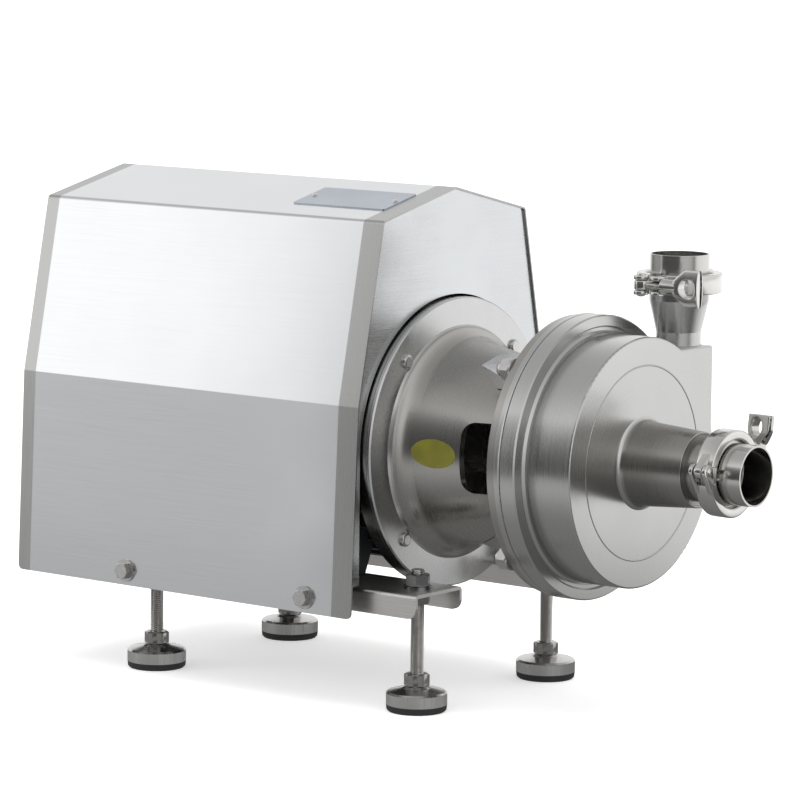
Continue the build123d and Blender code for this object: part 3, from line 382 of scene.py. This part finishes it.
# Adapter: the turned cone that joins the pump head to the motor, a casting machined all over,
# with a window on each side to reach the coupling. Four bolts hold it to the motor flange.
turned_cone = grained_steel("turned_adapter_steel", (0.46, 0.45, 0.43), 0.27, (1600, 1600, 0), shaft_line,
                            depth=0.000003, tint=0.03)
flange_front = 0.0435
ground_bands(turned_cone, (flange_front, 1), (0.62, 0.625, 0.62), 0.27)
dress(turned_cone, "adapter")
dress(bolt_steel, "adapter_bolts", "casing_nuts", "casing_studs")

# Guard ears: two pointed leaves of bright sheet welded to the adapter's front flange, beside the
# upper cap nuts. Each lies on the plain tab of the casting, its back a little inside it.
ear_front = 0.159
ear_back = 0.0989
ear_top = 0.1013
ear_steel = grained_steel("bright_ear_steel", (0.76, 0.77, 0.78), 0.24, (900, 60, 60), tint=0.03)
ear_outline = np.array([(-46.5, 9), (-23, 0.3), (-20, 4), (0, 4), (0, 22), (-8, 24), (-16.5, 25.2),
                        (-26, 25), (-36, 20.5)]) * 0.001
for name, side in (("guard_ear_near", -1), ("guard_ear_far", 1)):
    ear = slab(eased(ear_outline * (1, -side), 0.0009), ear_back, ear_top, 0.0002)
    outward = (0, side * cos(radians(45)), sin(radians(45)))
    piece(name, [carried(ear, (ear_front, 0, shaft_z), along_shaft, outward)], ear_steel, "pump")

# Oval sticker: blank yellow film on the near side of the cone, beside the window. It follows the
# cone, whose radius falls evenly along the shaft. The flange beside it shows no reflection of it.
sticker_middle = (0.0772, 0.2187)
sticker_half = (0.0203, 0.0122)
sticker_film = 0.00025
sticker_tilt = radians(-4)
cone_start = (0.051, 0.0895)
cone_end = (0.1505, 0.069)
cone_fall = (cone_end[1] - cone_start[1]) / (cone_end[0] - cone_start[0])


def on_cone(x, z, lift):
    """The points of the cone's near side at x and z, raised by lift: y is minus the root of the cone's
    radius squared less the height over the shaft squared."""
    radius = cone_start[1] + (x - cone_start[0]) * cone_fall + lift
    return np.stack([x, -np.sqrt(radius ** 2 - (z - shaft_z) ** 2), z], -1)


share = np.array([0, 0.5, 0.9, 0.99, 1.0])[:, None]
lift = np.array([1, 1, 1, 0.9, -0.4])[:, None] * sticker_film
around = circle(72)[None, :]
flat_x, flat_z = sticker_half[0] * share * np.cos(around), sticker_half[1] * share * np.sin(around)
sticker_x = sticker_middle[0] + flat_x * cos(sticker_tilt) - flat_z * sin(sticker_tilt)
sticker_z = sticker_middle[1] + flat_x * sin(sticker_tilt) + flat_z * cos(sticker_tilt)
yellow_film = moulded_rubber("yellow_film", (0.125, 0.118, 0.001), 0.6, 60)
sticker = piece("blank_oval_sticker", [on_cone(sticker_x, sticker_z, lift)], yellow_film, "pump")
sticker.visible_glossy = False

# Pump head: back plate, gasket and casing with its drum and nozzle, turned and welded from
# stainless plate and ground satin. Inside are the impeller, its nut and the shaft seal.
turned_plate = grained_steel("turned_casing_steel", (0.56, 0.562, 0.552), 0.24, (1600, 1600, 0), shaft_line,
                             depth=0.000002, tint=0.025)
nozzle_start = 0.2345
ground_bands(turned_plate, (-1, nozzle_start), (0.40, 0.39, 0.37), 0.30)
dress(turned_plate, "back_plate", "casing", "impeller", "impeller_nut", "seal_gland", "seal_head")

# Drum beads: the fine raised seam on the drum's front, the dressed weld at the foot of the suction
# nozzle's rim and the bead under the discharge cone. All are ground nearly flush.
def bead(radius, height, width, proud):
    """A closed ring round +Z: its section is a low arch of that width, from just under the surface."""
    arch = np.linspace(0, np.pi, 9)
    section = np.stack([radius + width / 2 * np.cos(arch), height + proud * np.sin(arch)], -1)
    foot_corners = [(radius - width / 2, height - proud), (radius + width / 2, height - proud)]
    return turned_grid(np.concatenate([section, foot_corners]), 160)


drum_front = 0.2325
seam_radius = 0.0817
nozzle_end = 0.2905
nozzle_end_radius = 0.0318
outlet_place = (0.210, 0.083, 0.0)
box_top = 0.307
cone_neck_radius = 0.0192
seam_steel = grained_steel("seam_steel", (0.46, 0.455, 0.44), 0.2, (1400, 1400, 0), shaft_line, tint=0.05)
on_shaft = ((0, 0, shaft_z), (0, 1, 0), along_shaft)
rings = [carried(bead(seam_radius, drum_front, 0.0016, 0.0004), *on_shaft),
         carried(bead(nozzle_end_radius - 0.0012, nozzle_end, 0.0022, 0.0007), *on_shaft),
         carried(bead(cone_neck_radius + 0.0004, box_top, 0.0022, 0.0009), outlet_place, along_shaft,
                 upright)]
piece("dressed_seams", rings, seam_steel, "pump", closed=(True, True))

gasket_white = moulded_rubber("white_gasket", (0.75, 0.74, 0.70), 0.5, 600)
dress(gasket_white, "casing_gasket", "port_gaskets")
seal_carbon = moulded_rubber("seal_carbon", (0.05, 0.05, 0.055), 0.35, 900)
dress(seal_carbon, "seal_seat")

# Ports: pipe ends with ferrules, held by hinged clamps, each closed by a swing bolt and wing nut.
# The clamp halves are investment castings, polished bright; the pipe ends are ground tube.
clamp_polish = grained_steel("polished_clamp_steel", (0.68, 0.67, 0.65), 0.13, (90, 90, 90), tint=0.04,
                             uneven=0.05)
mm = 0.001
lean = radians(8)
clamp_places = {"inlet": ((0.3165, 0, shaft_z), (0, cos(lean), -sin(lean)), along_shaft, 66),
                "outlet": ((*outlet_place[:2], 0.361), (0, -1, 0), upright, 90)}
hinge = np.array((-40, 0)) * mm
pivot = np.array((44, -9)) * mm
tongue = 3.5 * mm
cheek_low = 4.5 * mm
cheek_high = 8.2 * mm
band_middle = 34.6 * mm
band_section = eased(np.array([(28.7, 8.5), (28.7, 5), (32.6, 3.7), (32.6, -3.7), (28.7, -5), (28.7, -8.5),
                               (36.5, -8.5), (36.5, 8.5)]) * mm, 1.6 * mm)


def band(start, sweep=160, steps=64):
    """Half a clamp band: its section of radius and height is swung round +Z through sweep degrees, and
    both ends are closed to the middle of the section."""
    turn = np.radians(start + np.linspace(0, sweep, steps))[:, None]
    radius, height = band_section[None, :, 0], band_section[None, :, 1]
    swung = np.stack([radius * np.cos(turn), radius * np.sin(turn), height + 0 * turn], -1)
    return np.concatenate([0 * swung[:1] + swung[:1].mean(1, keepdims=True), swung,
                           0 * swung[-1:] + swung[-1:].mean(1, keepdims=True)])


def two_rounds(first, first_radius, second, second_radius, columns=48):
    """The outline round two circles: in each direction, the point of whichever circle reaches further."""
    way = np.stack([np.cos(circle(columns)), np.sin(circle(columns))], -1)
    reach_first, reach_second = way @ first + first_radius, way @ second + second_radius
    nearer = (reach_first > reach_second)[:, None]
    return np.where(nearer, first + way * first_radius, second + way * second_radius)


def on_band(angle):
    """A place in the middle of the band's wall at that angle, in degrees."""
    return band_middle * np.array((cos(radians(angle)), sin(radians(angle))))


def cheeks(outline, ease):
    """Two equal plates of that outline, one on each side of the clamp's middle plane."""
    return [slab(outline, low, low + cheek_high - cheek_low, ease) for low in (-cheek_high, cheek_low)]


lug_outline = eased(np.array([(34, 4), (50, 4), (50, 12.2), (44, 13), (38, 12.2), (34, 10.6), (31.6, 9.2),
                              (31.8, 6)]) * mm, 1.5 * mm)
fork_half = [band(10, 162)]
fork_half += [slab(two_rounds(hinge, 5.6 * mm, on_band(155), 1.6 * mm), -tongue, tongue, 1.0 * mm)]
fork_half += cheeks(lug_outline, 1.1 * mm)
bolt_half = [band(198, 152)]
bolt_half += cheeks(two_rounds(hinge, 6.2 * mm, on_band(208), 2.4 * mm), 0.9 * mm)
bolt_half += cheeks(two_rounds(pivot, 6.5 * mm, on_band(-34), 1.6 * mm), 1.1 * mm)
pin_profile = np.array([(0, -10), (2.4, -9.8), (3.6, -9), (3.8, -8.1), (3, -8.1), (3, 8.1), (3.8, 8.1),
                        (3.6, 9), (2.4, 9.8), (0, 10)]) * mm
pins = [turned_grid(pin_profile, 32) + (*hinge, 0), turned_grid(pin_profile, 32) + (*pivot, 0)]
eye = slab(two_rounds(np.zeros(2), 6 * mm, np.array((0, 2)) * mm, 5 * mm), -4.1 * mm, 4.1 * mm, 1.2 * mm)
bolt_thread = thread(4 * mm, 39 * mm, 4 * mm, 1.25 * mm)

# Wing nut: an investment casting with one flat wing pierced by a round hole, on a coned hub.
wing_foot = 22.1
hub_height = 14
wing_top = 59
wing_half_width = 15.5
wing_half_thickness = 4.5
wing_hole = 8.0
hole_to_top = 10.5
hole_height = wing_top - hole_to_top
wing_sides = ((0, wing_half_width), (90, hole_to_top), (180, wing_half_width), (222.5, 13.8),
              (317.5, 13.8), (270, 14.4))


def pierced_wing(columns=96, rows=36, sharpness=34):
    """A plate round a hole, as a ring closed both ways. Outwards, its edge is where the sum over the
    straight sides of (direction's share / distance) to the power of sharpness is one, which rounds the
    corners. Across, it is a flattened oval whose two numbers are powers of cosine and sine."""
    angle = circle(columns)[None, :]
    normals, distances = np.array(wing_sides).T
    normals = np.radians(normals)
    facing = np.clip(np.cos(angle[..., None] - normals), 0, None) / distances
    edge = (facing ** sharpness).sum(-1) ** (-1 / sharpness)
    turn = circle(rows)[:, None]
    across, lift = (np.sign(f) * np.abs(f) ** 0.2 for f in (np.cos(turn), np.sin(turn)))
    radius = (wing_hole + edge) / 2 + (edge - wing_hole) / 2 * across
    x, y = radius * np.cos(angle), radius * np.sin(angle) + hole_height
    thickness = wing_half_thickness * (1.12 - 0.5 * (x / wing_half_width) ** 2)
    return np.stack([x, y, thickness * lift], -1) * mm


def laid_along_y(grid):
    """A grid round +Z laid down, so that it stands round +Y."""
    return grid[..., [0, 2, 1]] * (1, 1, -1)


hub_profile = np.array([(0, 0), (6.6, 0), (7.2, 0.6), (6.9, 4), (5.9, hub_height - 1),
                        (4.6, hub_height + 1.2), (0, hub_height + 1.6)]) + (0, wing_foot)
hub = laid_along_y(turned_grid(hub_profile * mm, 48))

at_pivot = (*pivot, 0)
for port, (middle, x_dir, z_dir, wing_turn) in clamp_places.items():
    swivel = np.array(Matrix.Rotation(radians(wing_turn), 3, "Y"))
    swing_bolt = [eye + at_pivot, laid_along_y(bolt_thread) + at_pivot]
    wing = [pierced_wing() @ swivel.T + at_pivot, hub @ swivel.T + at_pivot]
    for name, grids, body, slot, replaced in (
            ("clamp_fork_casting", fork_half, "pump", "polished_steel", f"{port}_clamp_fork_half"),
            ("clamp_bolt_casting", bolt_half, "pump", "polished_steel", f"{port}_clamp_bolt_half"),
            ("clamp_pins", pins, "pump", "fastener_steel", "clamp_pins"),
            ("swing_bolt", swing_bolt, f"{port}_bolt", "fastener_steel", f"{port}_clamp_bolt"),
            ("wing_casting", wing, f"{port}_wing", "polished_steel", f"{port}_wing_nut")):
        in_place = [carried(grid, middle, x_dir, z_dir) for grid in grids]
        piece(f"{port}_{name}", in_place, clamp_polish, body, [replaced])
for port, axis in (("inlet", shaft_line), ("outlet", (outlet_place, upright))):
    pipe_steel = grained_steel(f"ground_{port}_pipe", (0.60, 0.59, 0.57), 0.17, (1600, 1600, 0), axis,
                               tint=0.03, depth=0.000003)
    dress(pipe_steel, f"{port}_pipe_end")

# Studio: a wide pale floor, soft boxes round the pump, grey cards that only its polished faces see,
# and a camera where the photograph was taken from. None of it is part of the pump.
def flat_sheet(name, corner, side_u, side_v, material):
    """A flat rectangle from a corner along two sides, as a stage piece."""
    steps = np.linspace(0, 1, 3)
    along_u = steps[:, None, None] * np.array(side_u)
    along_v = steps[None, :, None] * np.array(side_v)
    grid = np.array(corner) + along_u + along_v
    mesh = grid_mesh(name, [grid], (False, False))
    mesh.materials.append(material)
    made = bpy.data.objects.new(name, mesh)
    bpy.context.scene.collection.objects.link(made)
    return made


floor_paper, _, floor_shader = new_material("floor_paper", (0.92, 0.92, 0.92), 0.0, 0.9)
floor_shader.inputs["Emission Color"].default_value = (1, 1, 1, 1)
floor_shader.inputs["Emission Strength"].default_value = 0.5
floor = flat_sheet("studio_floor", (-30, -30, 0), (60, 0, 0), (0, 60, 0), floor_paper)
floor.visible_glossy = False


def card_material(name, axis, stops):
    """A card that glows evenly: its grey follows the stops (place in metres, grey) along one axis."""
    material = bpy.data.materials.new(name)
    material.use_nodes = True
    tree = material.node_tree
    tree.nodes.clear()
    place = wired(tree, "ShaderNodeSeparateXYZ", [(0, wired(tree, "ShaderNodeTexCoord").outputs["Object"])])
    first, last = stops[0][0], stops[-1][0]
    along = spread(tree, place.outputs[axis], 0, 1, first, last)
    ramp = wired(tree, "ShaderNodeValToRGB", [("Fac", along)])
    for element, (spot, grey) in zip(ramp.color_ramp.elements, (stops[0], stops[-1])):
        element.position, element.color = (spot - first) / (last - first), (grey, grey, grey, 1)
    for spot, grey in stops[1:-1]:
        ramp.color_ramp.elements.new((spot - first) / (last - first)).color = (grey, grey, grey, 1)
    glow = wired(tree, "ShaderNodeEmission", [("Color", ramp.outputs["Color"])])
    output = wired(tree, "ShaderNodeOutputMaterial")
    tree.links.new(glow.outputs[0], output.inputs["Surface"])
    return material


def reflection_card(name, corner, side_u, side_v, axis, stops):
    """A glowing sheet that only reflections see."""
    card = flat_sheet(name, corner, side_u, side_v, card_material(name, axis, stops))
    card.visible_camera = card.visible_diffuse = card.visible_shadow = card.visible_transmission = False
    return card


# The floor as the polished faces see it, with a painted shadow of the pump: its grey drops from 0.3 to 0.14
# between y -0.25 and 0.2 under the pump. It is grey in front and bright far behind.
reflection_card("floor_card_with_painted_shadow", (-12, -12, -0.002), (24, 0, 0), (0, 24, 0), 1,
                ((-2.0, 0.62), (-0.5, 0.55), (-0.25, 0.3), (0.2, 0.14), (0.8, 1.08), (3.0, 1.25)))
reflection_card("side_card", (-2.6, -1.1, 0), (1.96, 0, 0), (0, 0, 0.30), 0,
                ((-2.6, 0.70), (-1.2, 0.66), (-0.9, 0.62), (-0.64, 0.85)))
reflection_card("dark_card", (-0.62, -1.0, 0), (1.6, 0, 0), (0, 0, 0.9), 2,
                ((0.0, 0.07), (0.3, 0.08), (0.6, 0.16), (0.9, 0.45)))
reflection_card("white_card", (-4.0, -2.5, 0.35), (4.0, 0, 0), (0, 0, 1.6), 0,
                ((-4.0, 1.5), (-2.3, 1.42), (-2.1, 1.33), (-1.93, 0.95), (0.0, 0.7)))

world = bpy.data.worlds.new("studio_world")
bpy.context.scene.world = world
world.use_nodes = True
sky = world.node_tree
direction = wired(sky, "ShaderNodeSeparateXYZ", [(0, wired(sky, "ShaderNodeTexCoord").outputs["Generated"])])
sky_ramp = wired(sky, "ShaderNodeValToRGB", [("Fac", direction.outputs["Z"])])
sky_stops = ((0.0, 0.85), (0.10, 1.0), (0.45, 1.0), (0.75, 0.6), (1.0, 0.45))
for element, (spot, grey) in zip(sky_ramp.color_ramp.elements, (sky_stops[0], sky_stops[-1])):
    element.position, element.color = spot, (grey, grey, grey, 1)
for spot, grey in sky_stops[1:-1]:
    sky_ramp.color_ramp.elements.new(spot).color = (grey, grey, grey, 1)
background = sky.nodes["Background"]
sky.links.new(sky_ramp.outputs["Color"], background.inputs["Color"])
background.inputs["Strength"].default_value = 1.0
bpy.context.scene.view_settings.view_transform = "Standard"


def softbox(name, place, size, power, target=(0, 0, 0.22)):
    """A rectangular lamp at place that faces target."""
    lamp = bpy.data.lights.new(name, "AREA")
    lamp.shape, lamp.size, lamp.size_y, lamp.energy = "RECTANGLE", *size, power
    holder = bpy.data.objects.new(name, lamp)
    holder.location = place
    holder.rotation_euler = (Vector(target) - Vector(place)).to_track_quat("-Z", "Y").to_euler()
    holder.visible_glossy = False
    bpy.context.scene.collection.objects.link(holder)


softbox("overhead_box", (0.2, -0.3, 2.2), (2.0, 1.6), 12)
softbox("left_box", (-2.2, -2.2, 1.1), (1.2, 0.8), 12)
daylight = bpy.data.lights.new("overhead_fill", "SUN")
daylight.energy, daylight.angle = 0.9, radians(60)
fill = bpy.data.objects.new("overhead_fill", daylight)
fill.visible_glossy = False
bpy.context.scene.collection.objects.link(fill)

azimuth = radians(37.22)
pitch = radians(7.64)
roll = radians(0.69)
distance = 3.489
aim = Vector((0.0212, 0, 0.2431))
focal_pixels = 4044
frame_pixels = 800
centre_pixel = (441.1, 409.2)
sensor = 36.0
back = Vector((sin(azimuth) * cos(pitch), -cos(azimuth) * cos(pitch), sin(pitch)))
camera_data = bpy.data.cameras.new("studio_camera")
camera_data.sensor_width = sensor
camera_data.lens = focal_pixels / frame_pixels * sensor
camera_data.shift_x = (frame_pixels / 2 - centre_pixel[0]) / frame_pixels
camera_data.shift_y = (centre_pixel[1] - frame_pixels / 2) / frame_pixels
camera_data.clip_end = 200
camera = bpy.data.objects.new("studio_camera", camera_data)
facing = (-back).to_track_quat("-Z", "Y").to_matrix().to_4x4()
camera.matrix_world = Matrix.Translation(aim + distance * back) @ facing @ Matrix.Rotation(roll, 4, "Z")
bpy.context.scene.collection.objects.link(camera)
bpy.context.scene.camera = camera
